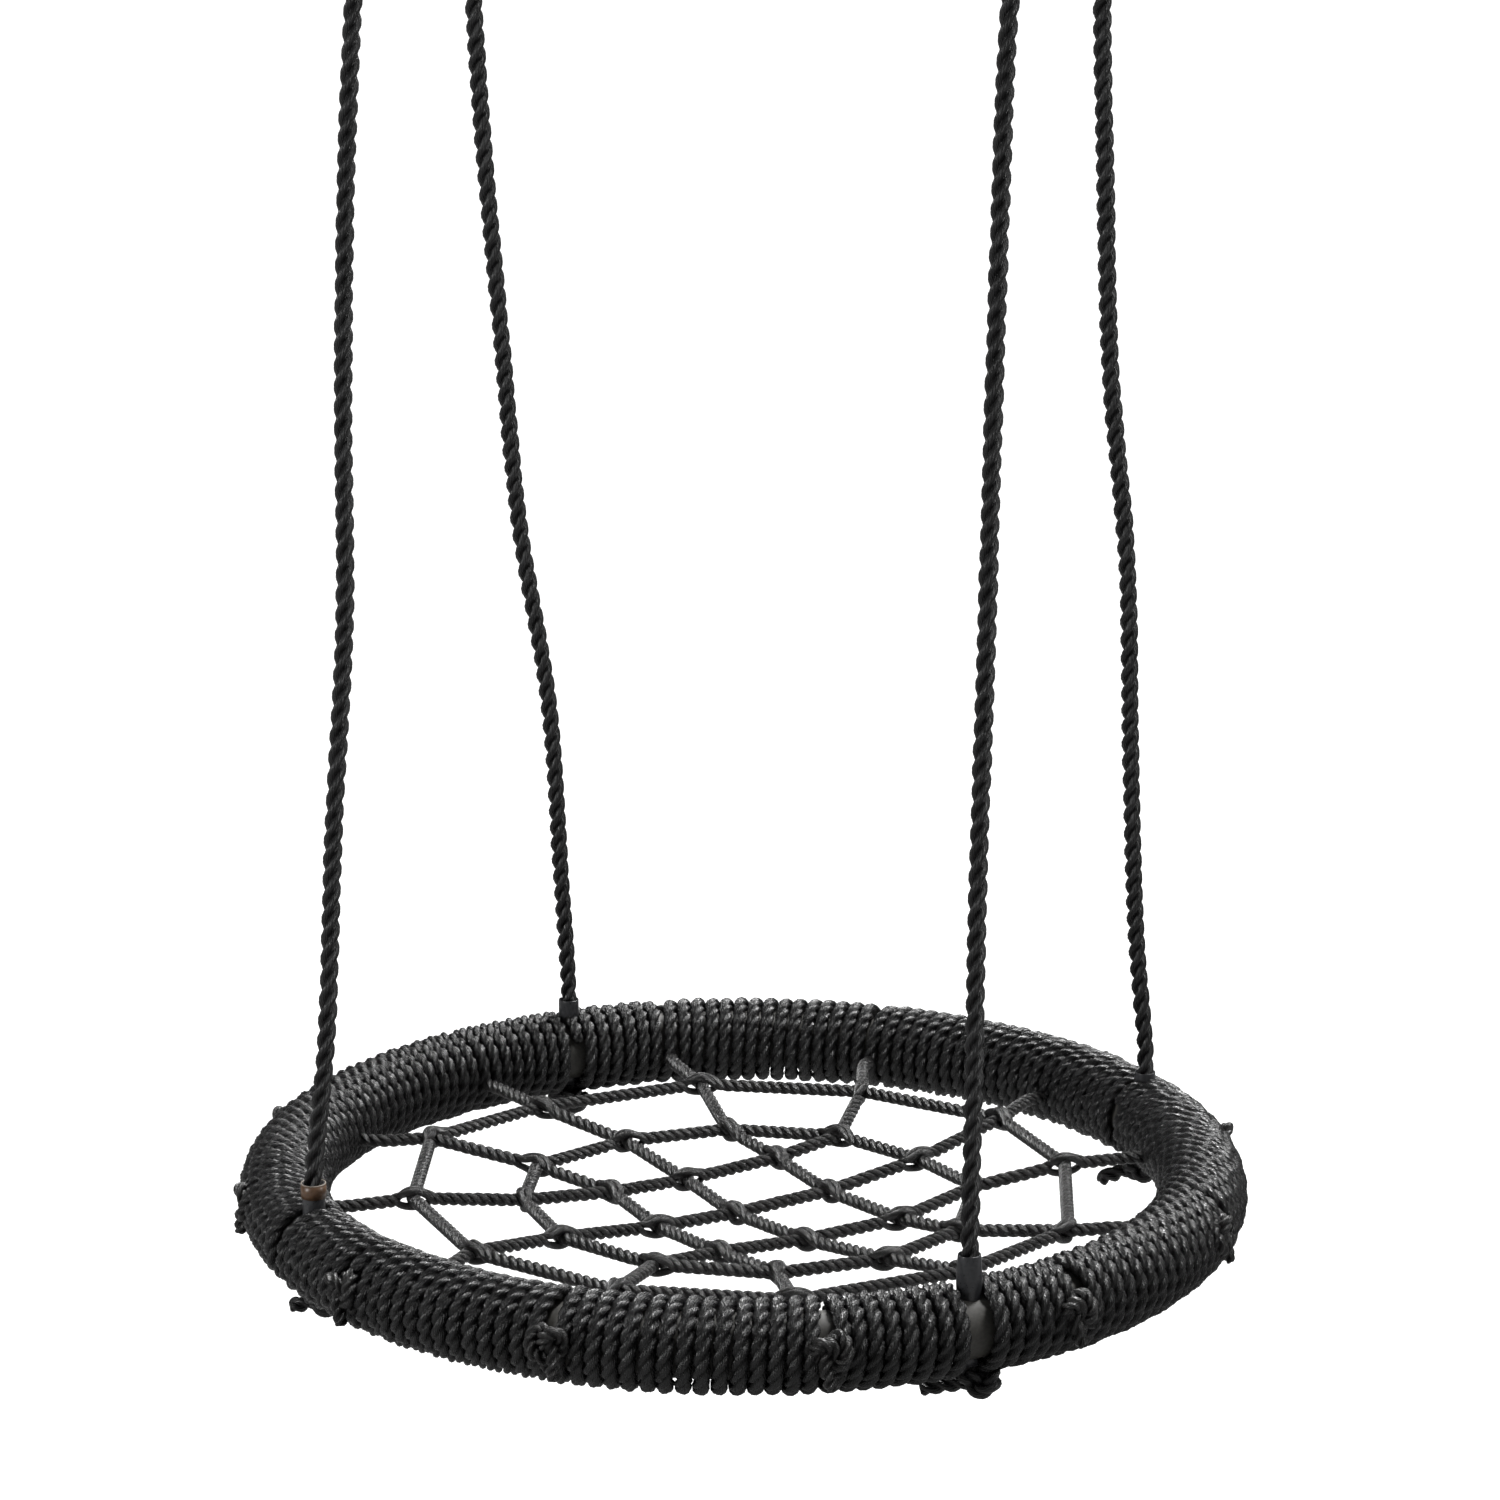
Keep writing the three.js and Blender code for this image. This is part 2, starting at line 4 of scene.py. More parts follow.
import bpy
import numpy as np
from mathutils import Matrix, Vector

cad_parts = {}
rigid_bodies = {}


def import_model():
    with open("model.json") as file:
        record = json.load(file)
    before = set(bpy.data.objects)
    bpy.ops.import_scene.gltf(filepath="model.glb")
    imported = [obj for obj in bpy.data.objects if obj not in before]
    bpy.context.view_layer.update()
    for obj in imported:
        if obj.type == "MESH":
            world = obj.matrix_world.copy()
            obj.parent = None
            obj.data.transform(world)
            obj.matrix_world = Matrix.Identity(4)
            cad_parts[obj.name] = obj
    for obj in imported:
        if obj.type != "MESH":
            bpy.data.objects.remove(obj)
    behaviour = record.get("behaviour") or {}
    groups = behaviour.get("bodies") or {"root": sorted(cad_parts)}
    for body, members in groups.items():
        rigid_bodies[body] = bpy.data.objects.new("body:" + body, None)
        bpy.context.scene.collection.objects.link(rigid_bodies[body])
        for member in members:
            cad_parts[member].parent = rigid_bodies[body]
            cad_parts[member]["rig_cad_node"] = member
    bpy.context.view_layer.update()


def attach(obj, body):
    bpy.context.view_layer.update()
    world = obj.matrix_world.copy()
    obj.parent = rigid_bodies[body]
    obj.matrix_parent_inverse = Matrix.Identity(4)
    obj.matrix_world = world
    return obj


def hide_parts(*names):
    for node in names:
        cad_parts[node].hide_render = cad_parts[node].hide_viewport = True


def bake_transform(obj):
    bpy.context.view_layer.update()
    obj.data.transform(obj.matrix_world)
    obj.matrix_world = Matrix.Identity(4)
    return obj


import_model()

# Sizes in metres and angles in degrees, as in the CAD model
HANG_DROP = 2.0  # from the origin down to the ring's plane
RING_RADIUS = 0.455
CORE_RADIUS = 0.03015
ANCHORS = [0, 30, 60, 90, 120, 150, 180, 209, 241, 268.5, 298.3, 329]  # the net cords' holes
ANCHOR_DROP = 0.005
ANCHOR_RUN = (0.5002, RING_RADIUS, 0.412, 0.395)  # a net cord's way in through the tube
TAUT = 0.016  # a net cord is straight up to this far from a crossing
HANG_HALF_SPAN = RING_RADIUS * math.sqrt(0.5)
THIMBLE_DROP = 0.1027
THIMBLE_PITCH = 0.024
EYE_RADIUS = 0.0246
EYE_BEND = range(72, 289, 24)  # round the thimble
EYE_RUN_IN = (0.170, 0.130, 0.092, 0.080)  # below the thimble's middle, on the rope's way up to it
EYE_RUN_OUT = (0.080, 0.105)  # and on its tail's way down
THROAT_HALF = 0.0096
THROAT_START = 0.062
TAIL_END = 0.132
SEIZING_START = 0.068
SEIZING_LENGTH = 0.05
SLEEVE_RUN = (0.069, 0.073)  # a hanging rope stays upright to here
STOPPER_TOP = -0.046

# How the ropes are laid
WRAP_ROPE = 0.0154
WRAP_PITCH = 2.0  # degrees of the ring for each turn
WRAP_LAY = 0.044
NET_CORD = 0.0138
NET_LAY = 0.030
HANGING_ROPE = 0.0184
HANGING_LAY = 0.058
TWINE = 0.0031
TWINE_LAY = 0.012
YARNS = 27  # seen round a rope
STRAND = 0.4641  # three touching strands: strand radius over rope radius
STRAND_OUT = 0.5359  # and the distance of a strand's middle from the rope's
END_ROUNDING = (0.62, 0.86, 0.97)  # the first steps of a cut end, over its full size

# How fine the ropes are made, and how they vary: a value every so many steps, and its size
ROPE_STEP = 0.0024
NET_STEP = 0.0022
END_KNOT_STEP = 0.0018
STOPPER_STEP = 0.0022
TWINE_STEP = 0.002
LAY_WANDER = (30, 0.18)
SIZE_WANDER = (12, 0.018)
RUN_WANDER = (70, 0.0009)
SEAT_WANDER = (35, 0.00035)
NET_LAY_WANDER = (25, 0.15)
STRAND_WANDER = (15, 0.03)

# Each hanging rope:
#   azimuth of its place on the ring, and the gap there between two runs of wound rope
#   spread: degrees by which the gap's two edges lie further clockwise than an even gap's
#   outer: whether its thimble is the outer one on its link
#   sleeve: the height of its sleeve's top
#   tail: the azimuth that its stopper knot's tail points to, with tail_length
#   knot_shift: how far the knot lies towards its tail
#   route: the rope's free way up
HANGING = {
    "front_left": {
        "azimuth": 225,
        "gap": 0.022,
        "spread": (0, 0.6),
        "outer": True,
        "sleeve": 0.065,
        "tail": 215,
        "knot_shift": -0.006,
        "tail_length": 0.016,
        "route": [
            (-0.315, -0.300, -1.80),
            (-0.318, -0.265, -1.60),
            (-0.317, -0.231, -1.40),
            (-0.329, -0.197, -1.20),
            (-0.337, -0.162, -1.00),
            (-0.338, -0.137, -0.85),
            (-0.336, -0.094, -0.60),
            (-0.334, -0.059, -0.40),
        ],
    },
    "back_left": {
        "azimuth": 133.5,
        "gap": 0.014,
        "spread": (-1.4, 0),
        "outer": False,
        "sleeve": 0.058,
        "tail": 100,
        "knot_shift": -0.01,
        "tail_length": 0.012,
        "route": [
            (-0.312, 0.308, -1.80),
            (-0.310, 0.272, -1.60),
            (-0.327, 0.237, -1.40),
            (-0.330, 0.202, -1.20),
            (-0.332, 0.166, -1.00),
            (-0.330, 0.140, -0.85),
            (-0.321, 0.096, -0.60),
            (-0.315, 0.061, -0.40),
        ],
    },
    "front_right": {
        "azimuth": 316,
        "gap": 0.02,
        "spread": (0.9, 0.5),
        "outer": False,
        "sleeve": 0.07,
        "tail": 205,
        "knot_shift": -0.009,
        "tail_length": 0.038,
        "route": [
            (0.323, -0.295, -1.80),
            (0.315, -0.261, -1.60),
            (0.310, -0.227, -1.40),
            (0.304, -0.193, -1.20),
            (0.299, -0.160, -1.00),
            (0.296, -0.134, -0.85),
            (0.302, -0.092, -0.60),
            (0.307, -0.058, -0.40),
        ],
    },
    "back_right": {
        "azimuth": 43.5,
        "gap": 0.006,
        "spread": (0, 0),
        "outer": True,
        "sleeve": 0.05,
        "tail": 230,
        "knot_shift": 0.01,
        "tail_length": 0.026,
        "route": [
            (0.323, 0.292, -1.80),
            (0.322, 0.258, -1.60),
            (0.323, 0.225, -1.40),
            (0.311, 0.192, -1.20),
            (0.311, 0.158, -1.00),
            (0.312, 0.133, -0.85),
            (0.321, 0.091, -0.60),
            (0.328, 0.058, -0.40),
        ],
    },
}

# Where the net's cords cross, from the ring's centre
BORDER = [
    (0.342, -0.025),
    (0.287, 0.161),
    (0.186, 0.278),
    (0.023, 0.316),
    (-0.146, 0.284),
    (-0.279, 0.158),
    (-0.348, 0.028),
    (-0.294, -0.147),
    (-0.182, -0.269),
    (-0.015, -0.320),
    (0.150, -0.291),
    (0.279, -0.165),
]
INNER = [
    (0.230, -0.023),
    (0.209, 0.106),
    (0.132, 0.167),
    (0.032, 0.210),
    (-0.084, 0.192),
    (-0.171, 0.123),
    (-0.229, 0.022),
    (-0.204, -0.079),
    (-0.130, -0.167),
    (-0.018, -0.209),
    (0.101, -0.192),
    (0.188, -0.121),
]
LATTICE = [
    [(-0.137, -0.007), (-0.062, -0.077), (0.022, -0.136)],
    [(-0.083, 0.063), (-0.008, -0.005), (0.086, -0.065)],
    [(-0.014, 0.146), (0.064, 0.077), (0.160, 0.012)],
]
BORDER_HEIGHT = -0.006
INNER_HEIGHT = -0.020
LATTICE_HEIGHT = [[-0.028, -0.032, -0.028], [-0.032, -0.036, -0.032], [-0.028, -0.032, -0.028]]
UPPER_CORDS = [(6, 10), (5, 11), (4, 0)]  # the two holes that each cord joins
LOWER_CORDS = [(7, 3), (8, 2), (9, 1)]

UP = np.array([0.0, 0.0, 1.0])
CAD_PIECES = {o["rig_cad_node"]: o for o in bpy.data.objects if "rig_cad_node" in o}
rng = np.random.default_rng(7)


# --- Camera ---

CAMERA_PLACE = (1.479, -4.270, -0.409)
CAMERA_AZIMUTH = math.radians(19.1)
CAMERA_PITCH = math.radians(14.29)
CAMERA_YAW = math.radians(-0.08)
camera_data = bpy.data.cameras.new("camera")
camera_data.sensor_width = 36
camera_data.lens = 115.0
camera_data.clip_end = 200
camera = bpy.data.objects.new("camera", camera_data)
bpy.context.scene.collection.objects.link(camera)
bpy.context.scene.camera = camera
camera.location = CAMERA_PLACE
camera.rotation_euler = (math.pi / 2 - CAMERA_PITCH, 0, CAMERA_AZIMUTH + CAMERA_YAW)


# --- Curves and meshes ---


def spline(points, closed=False, samples=24):
    """A smooth line through the points, as the CAD model's cords follow theirs."""
    pts = np.asarray(points, float)
    count = len(pts)
    if closed:
        padded = np.vstack([pts[-1], pts, pts[0], pts[1]])
    else:
        padded = np.vstack([2 * pts[0] - pts[1], pts, 2 * pts[-1] - pts[-2]])
    t = np.arange(samples)[:, None] / samples
    pieces = []
    for i in range(count if closed else count - 1):
        p0, p1, p2, p3 = padded[i : i + 4]
        d0, d1, d2 = (max(np.linalg.norm(b - a) ** 0.5, 1e-4) for a, b in ((p0, p1), (p1, p2), (p2, p3)))
        t1 = ((p1 - p0) / d0 - (p2 - p0) / (d0 + d1) + (p2 - p1) / d1) * d1
        t2 = ((p2 - p1) / d1 - (p3 - p1) / (d1 + d2) + (p3 - p2) / d2) * d1
        pieces.append(
            p1 + t1 * t + (-3 * p1 + 3 * p2 - 2 * t1 - t2) * t**2 + (2 * p1 - 2 * p2 + t1 + t2) * t**3
        )
    line = np.vstack(pieces)
    return line if closed else np.vstack([line, pts[-1]])


def distances(line):
    """The distance along the line at each of its points."""
    return np.concatenate([[0], np.cumsum(np.linalg.norm(np.diff(line, axis=0), axis=1))])


def resample(line, step, closed=False):
    """The line at even steps, the distance along it at each, and its length."""
    if closed:
        line = np.vstack([line, line[0]])
    along = distances(line)
    count = max(4, round(along[-1] / step))
    at = np.linspace(0, along[-1], count + 1)
    if closed:
        at = at[:-1]
    return np.stack([np.interp(at, along, line[:, k]) for k in range(3)], axis=1), at, along[-1]


def unit(v):
    return v / np.maximum(np.linalg.norm(v, axis=-1, keepdims=True), 1e-12)


def tangents(line, closed=False):
    if closed:
        return unit(np.roll(line, -1, axis=0) - np.roll(line, 1, axis=0))
    return unit(np.gradient(line, axis=0))


def frame_about(line, reference, closed=False):
    """Two directions across the line: normal, nearest to the reference, and side."""
    t = tangents(line, closed)
    side = unit(np.cross(t, np.broadcast_to(np.asarray(reference, float), line.shape)))
    return np.cross(side, t), side


def carried_frame(line):
    """Two directions across the line that don't turn about it, for a line that bends every way."""
    t = tangents(line)
    start = np.cross(t[0], (0, 0, 1) if abs(t[0][2]) < 0.9 else (1, 0, 0))
    normal = [unit(start)]
    for direction in t[1:]:
        normal.append(unit(normal[-1] - np.dot(normal[-1], direction) * direction))
    normal = np.array(normal)
    return normal, np.cross(t, normal)


def strip_mesh(name, tubes, material):
    """One object from tubes, each (rings, distances, closed): rings of points joined into a skin."""
    verts, loops, starts, sizes, uvs = [], [], [], [], []
    base = 0
    loop_base = 0
    for rings, along, closed in tubes:
        n, m = rings.shape[:2]
        verts.append(rings.reshape(-1, 3))
        i = np.arange(n if closed else n - 1)[:, None]
        j = np.arange(m)[None, :]
        i2 = (i + 1) % n
        j2 = (j + 1) % m
        quad = np.stack([i * m + j, i * m + j2, i2 * m + j2, i2 * m + j], axis=-1).reshape(-1, 4) + base
        pitch = along[1] - along[0]
        u0 = np.broadcast_to(j / m, (len(i), m))
        v0 = np.broadcast_to(along[: len(i), None], (len(i), m))
        corners = ((u0, v0), (u0 + 1 / m, v0), (u0 + 1 / m, v0 + pitch), (u0, v0 + pitch))
        loops.append(quad.reshape(-1))
        uvs.append(np.stack([np.stack(corner, -1) for corner in corners], axis=2).reshape(-1, 2))
        starts.append(loop_base + 4 * np.arange(len(quad)))
        sizes.append(np.full(len(quad), 4))
        loop_base += 4 * len(quad)
        if not closed:
            for ring, order in ((0, -1), (n - 1, 1)):
                loops.append((np.arange(m)[::order] + ring * m) + base)
                uvs.append(np.stack([np.linspace(0, 1, m), np.full(m, along[ring])], -1))
                starts.append(np.array([loop_base]))
                sizes.append(np.array([m]))
                loop_base += m
        base += n * m
    verts = np.vstack(verts)
    loops = np.concatenate(loops)
    starts = np.concatenate(starts)
    mesh = bpy.data.meshes.new(name)
    mesh.vertices.add(len(verts))
    mesh.vertices.foreach_set("co", verts.astype(np.float32).reshape(-1))
    mesh.loops.add(len(loops))
    mesh.loops.foreach_set("vertex_index", loops.astype(np.int32))
    mesh.polygons.add(len(starts))
    mesh.polygons.foreach_set("loop_start", starts.astype(np.int32))
    mesh.polygons.foreach_set("loop_total", np.concatenate(sizes).astype(np.int32))
    mesh.polygons.foreach_set("use_smooth", np.ones(len(starts), bool))
    layer = mesh.uv_layers.new(name="strand")
    layer.data.foreach_set("uv", np.vstack(uvs).astype(np.float32).reshape(-1))
    mesh.update(calc_edges=True)
    mesh.validate()
    mesh.materials.append(material)
    obj = bpy.data.objects.new(name, mesh)
    bpy.context.scene.collection.objects.link(obj)
    return obj


def laid_outline(per_strand, spread, groove, fullness=0.0):
    """The outline of three strands laid together, in rope radii.

    Each strand shows spread degrees to each side, and groove is the depth between two strands.
    fullness presses the outline towards a circle.
    """
    points = []
    for k in range(3):
        out = 2 * math.pi * k / 3
        for phi in np.radians(np.linspace(-spread, spread, per_strand)):
            x = STRAND_OUT + STRAND * math.cos(phi)
            y = STRAND * math.sin(phi)
            points.append((x * math.cos(out) - y * math.sin(out), x * math.sin(out) + y * math.cos(out)))
        points.append((groove * math.cos(out + math.pi / 3), groove * math.sin(out + math.pi / 3)))
    points = np.array(points)
    reach = np.linalg.norm(points, axis=1, keepdims=True)
    return points / reach * (reach + (1 - reach) * fullness)


def wander(count, every, size):
    """Slow random variation, one value for each step."""
    knots = rng.normal(0, size, max(4, int(count / every) + 4))
    x = np.linspace(0, len(knots) - 1.001, count)
    i = x.astype(int)
    f = x - i
    f = f * f * (3 - 2 * f)
    return knots[i] * (1 - f) + knots[np.minimum(i + 1, len(knots) - 1)] * f


def laid_rope(line, normal, side, along, diameter, lay, outline, squeeze=1.0, cut=(False, False)):
    """A rope of three strands along a line, as strip_mesh takes it. cut rounds off an end that shows."""
    n = len(line)
    angle = 2 * math.pi / lay * along + wander(n, *LAY_WANDER)
    radius = diameter / 2 * (1 + wander(n, *SIZE_WANDER))
    for k, keep in enumerate(END_ROUNDING):
        if cut[0]:
            radius[k] *= keep
        if cut[1]:
            radius[n - 1 - k] *= keep
    c, s = np.cos(angle)[:, None], np.sin(angle)[:, None]
    x = (outline[:, 0] * c - outline[:, 1] * s) * radius[:, None]
    y = (outline[:, 0] * s + outline[:, 1] * c) * radius[:, None] * np.reshape(squeeze, (-1, 1))
    rings = line[:, None, :] + x[..., None] * normal[:, None, :] + y[..., None] * side[:, None, :]
    return rings, along, False


def ring_point(azimuth, radius, height):
    """A point by its azimuth and radius on the ring, and its height over the ring's plane."""
    a = math.radians(azimuth)
    return np.array([radius * math.cos(a), radius * math.sin(a), height - HANG_DROP])


def outward_at(azimuth):
    return ring_point(azimuth, 1, HANG_DROP)


# --- Materials ---


def set_input(tree, socket, value):
    """Gives the socket a value, or links another node's output to it."""
    if isinstance(value, bpy.types.NodeSocket):
        tree.links.new(value, socket)
    else:
        socket.default_value = value


def add_node(tree, kind, inputs=None):
    node = tree.nodes.new("ShaderNode" + kind)
    for key, value in (inputs or {}).items():
        set_input(tree, node.inputs[key], value)
    return node


def calculate(tree, operation, *values):
    """The result of a Math node."""
    node = add_node(tree, "Math")
    node.operation = operation
    for socket, value in zip(node.inputs, values):
        set_input(tree, socket, value)
    return node.outputs[0]


def new_material(name):
    material = bpy.data.materials.new(name)
    material.use_nodes = True
    return material, material.node_tree, material.node_tree.nodes["Principled BSDF"]


def colour_between(tree, factor, places, colours):
    """A colour that goes from the first to the second as the factor goes between the two places."""
    ramp = add_node(tree, "ValToRGB", {"Fac": factor})
    for stop, place, colour in zip(ramp.color_ramp.elements, places, colours):
        stop.position = place
        stop.color = (*colour, 1)
    return ramp.outputs["Color"]


def add_relief(tree, shader, height, strength, depth):
    bump = add_node(tree, "Bump", {"Height": height, "Strength": strength, "Distance": depth})
    tree.links.new(bump.outputs["Normal"], shader.inputs["Normal"])


YARN_SLANT = 0.7  # the part of the strands' turning that the yarns undo
YARN_NOISE = (46, 130)  # round the rope and along it
RIPPLE_BEND = 5.0  # radians by which the noise shifts the ripple of the yarns
RIPPLE_SHARE = 0.16
PATCH_SCALE = 60
# where the rope's base colour goes from dark to light; the light end is partly painted sheen on the raised
# yarns
ROPE_TONE_AND_SHEEN_PLACES = (0.20, 0.40)
ROPE_RELIEF = 0.0010


def rope_material(name, dark, light, roughness, lay, tint=(1, 1, 1.04)):
    """Black plastic rope: fine shiny yarns that run nearly along the rope. Its base colour is part random
    patchy tone and part painted sheen: lighter where the yarn relief stands high, darker in its furrows.
    """
    material, tree, shader = new_material(name)
    shader.inputs["Specular IOR Level"].default_value = 0.5
    uv = add_node(tree, "UVMap")
    uv.uv_map = "strand"
    parts = add_node(tree, "SeparateXYZ", {"Vector": uv.outputs["UV"]})
    slanted = calculate(tree, "MULTIPLY_ADD", parts.outputs["Y"], YARN_SLANT / lay, parts.outputs["X"])
    across = calculate(tree, "MULTIPLY", slanted, YARN_NOISE[0])
    lengthwise = calculate(tree, "MULTIPLY", parts.outputs["Y"], YARN_NOISE[1])
    joined = add_node(tree, "CombineXYZ", {"X": across, "Y": lengthwise})
    noise = {"Vector": joined.outputs["Vector"], "Scale": 1.0, "Detail": 4, "Roughness": 0.65}
    yarn = add_node(tree, "TexNoise", noise).outputs["Fac"]
    ripple = calculate(tree, "MULTIPLY", slanted, 2 * math.pi * YARNS)
    wave = calculate(tree, "SINE", calculate(tree, "MULTIPLY_ADD", yarn, RIPPLE_BEND, ripple))
    height = calculate(tree, "MULTIPLY_ADD", wave, RIPPLE_SHARE, yarn)
    place = add_node(tree, "TexCoord")
    noise = {"Vector": place.outputs["Object"], "Scale": PATCH_SCALE, "Detail": 3}
    patch = add_node(tree, "TexNoise", noise).outputs["Fac"]
    tones = ([dark * t for t in tint], [light * t for t in tint])
    # Painted sheen and shade: the base colour is lighter where the yarn relief stands high and darker in its
    # furrows, over a random patchy tone
    colour = colour_between(tree, calculate(tree, "MULTIPLY", height, patch), ROPE_TONE_AND_SHEEN_PLACES, tones)
    tree.links.new(colour, shader.inputs["Base Color"])
    limits = {"From Min": 0.35, "From Max": 0.65, "To Min": roughness + 0.16, "To Max": roughness - 0.08}
    rough = add_node(tree, "MapRange", {"Value": yarn, **limits})
    tree.links.new(rough.outputs["Result"], shader.inputs["Roughness"])
    add_relief(tree, shader, height, 1.0, ROPE_RELIEF)
    return material


def plain_material(name, colour, roughness, metallic=0.0, grain=300.0, vary=0.25, relief=0.0002):
    """A surface with slight mottling in colour, gloss and relief."""
    material, tree, shader = new_material(name)
    shader.inputs["Metallic"].default_value = metallic
    place = add_node(tree, "TexCoord")
    noise = {"Vector": place.outputs["Object"], "Scale": grain, "Detail": 4}
    mottle = add_node(tree, "TexNoise", noise).outputs["Fac"]
    tones = ([c * (1 - vary) for c in colour], [min(1, c * (1 + vary)) for c in colour])
    tree.links.new(colour_between(tree, mottle, (0.3, 0.7), tones), shader.inputs["Base Color"])
    limits = {"To Min": roughness - 0.08, "To Max": roughness + 0.08}
    rough = add_node(tree, "MapRange", {"Value": mottle, **limits})
    tree.links.new(rough.outputs["Result"], shader.inputs["Roughness"])
    add_relief(tree, shader, mottle, 0.5, relief)
    return material


# The light tone of each rope is partly painted sheen on its raised yarns
WRAP_BLACK = rope_material("wrap_black", 0.0012, 0.017, 0.26, WRAP_LAY)
NET_BLACK = rope_material("net_black", 0.0015, 0.036, 0.28, NET_LAY, tint=(1.06, 1.03, 1))
HANGING_BLACK = rope_material("hanging_black", 0.002, 0.022, 0.34, HANGING_LAY)
HOSE = plain_material("hose", (0.034, 0.035, 0.038), 0.30)
TUBE = plain_material("tube_grey", (0.050, 0.048, 0.042), 0.6)
TAPE = plain_material("tape_brown", (0.10, 0.055, 0.030), 0.35)
RIM = plain_material("collar_edge", (0.30, 0.26, 0.22), 0.5)
STEEL = plain_material("zinc", (0.34, 0.35, 0.36), 0.45, metallic=1.0, vary=0.12)


# --- Hanging ropes ---

HANGING_OUTLINE = laid_outline(per_strand=6, spread=110, groove=0.36)
TWINE_OUTLINE = laid_outline(per_strand=3, spread=90, groove=0.6)
TWINE_PITCH = TWINE * 1.02
TWINE_BITE = 0.0003  # the twine is pressed into the rope by this much


def eye_frame(info):
    """The middle of a rope's thimble, the direction from it down the rope, and the one across."""
    hole = ring_point(info["azimuth"], RING_RADIUS, 0)
    offset = THIMBLE_PITCH / 2 if info["outer"] else -THIMBLE_PITCH / 2
    centre = np.array([math.copysign(HANG_HALF_SPAN + offset, hole[0]), 0, -THIMBLE_DROP])
    down = unit(np.array([0, hole[1], hole[2] - centre[2]]))
    out = np.array([0, -down[2], down[1]]) * math.copysign(1, hole[1])
    return centre, down, out


def eye_point(where, along, across):
    centre, down, out = where
    return centre + down * along + out * across


def seize(rope_name, info, body):
    """Twine wound over the two legs of a rope's eye."""
    where = eye_frame(info)
    turns = round((SEIZING_LENGTH - TWINE) / TWINE_PITCH)
    reach = HANGING_ROPE / 2 + TWINE / 2 - TWINE_BITE
    flat = 2 * THROAT_HALF
    bend = math.pi * reach
    around = 2 * (flat + bend)
    line = []
    for at in np.arange(0, turns * around, TWINE_STEP):
        depth = SEIZING_START + TWINE / 2 + (SEIZING_LENGTH - TWINE) * at / (turns * around)
        place = at % around
        if place < flat:
            x, y = reach, place - THROAT_HALF
        elif place < flat + bend:
            a = (place - flat) / reach
            x, y = reach * math.cos(a), THROAT_HALF + reach * math.sin(a)
        elif place < 2 * flat + bend:
            x, y = -reach, THROAT_HALF - (place - flat - bend)
        else:
            a = (place - 2 * flat - bend) / reach
            x, y = -reach * math.cos(a), -THROAT_HALF - reach * math.sin(a)
        line.append(eye_point(where, depth, y) + np.array([x, 0, 0]))
    line, along, _ = resample(np.array(line), TWINE_STEP)
    normal, side = frame_about(line, where[1])
    rings = laid_rope(line, normal, side, along, TWINE, TWINE_LAY, TWINE_OUTLINE)
    twine = strip_mesh("twine_" + rope_name, [rings], HANGING_BLACK)
    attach(twine, body)
    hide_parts("eye_seizing_" + rope_name)
    return twine


def rope_points(info):
    """The points of a hanging rope, from its stopper knot to the end of its seized tail."""
    where = eye_frame(info)
    heights = (STOPPER_TOP + 0.003, 0, *SLEEVE_RUN)
    points = [ring_point(info["azimuth"], RING_RADIUS, h) for h in heights]
    points += [np.array(p) for p in info["route"]]
    points += [eye_point(where, a, THROAT_HALF) for a in (*EYE_RUN_IN, THROAT_START)]
    for a in np.radians(EYE_BEND):
        points.append(eye_point(where, EYE_RADIUS * math.cos(a), EYE_RADIUS * math.sin(a)))
    return points + [eye_point(where, a, -THROAT_HALF) for a in (THROAT_START, *EYE_RUN_OUT, TAIL_END)]


for rope_name, info in HANGING.items():
    points = rope_points(info)
    line, along, length = resample(spline(points), ROPE_STEP)
    normal, side = frame_about(line, (1, 0, 0))
    rings = laid_rope(
        line, normal, side, along, HANGING_ROPE, HANGING_LAY, HANGING_OUTLINE, cut=(False, True)
    )
    rope = strip_mesh("rope_" + rope_name, [rings], HANGING_BLACK)
    body = "ropes_left" if "left" in rope_name else "ropes_right"
    seize(rope_name, info, body)
    foot = points[1]
    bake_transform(rope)
    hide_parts("hanging_rope_" + rope_name, "rope_eye_" + rope_name)


# --- Rope wound round the ring ---

WRAP_OUTLINE = laid_outline(per_strand=5, spread=106, groove=0.48, fullness=0.22)
WRAP_BITE = 0.985  # the wound rope's middle from the tube's surface, in rope radii
STEPS_PER_TURN = 60
PART_TURN = 0.667  # a run's last turn stops at this part of a full one
RUN_START = 0.5  # degrees of the ring from a gap's edge to the middle of the first turn
RUN_SHORTER = 0.667  # degrees that the middle line is shorter than its run
ROOM = 0.0066  # how far the turns move aside on the outside, where a net cord comes through
ROOM_INSIDE = 0.25  # and the part of that on the inside
ROOM_LEAN = 0.35  # radians above the ring's plane where they move aside most
ROOM_FADE = 0.09  # radians of the ring over which they come together again
ROOM_MIDDLE = 0.008  # radians at the cord's middle where a turn crosses over it


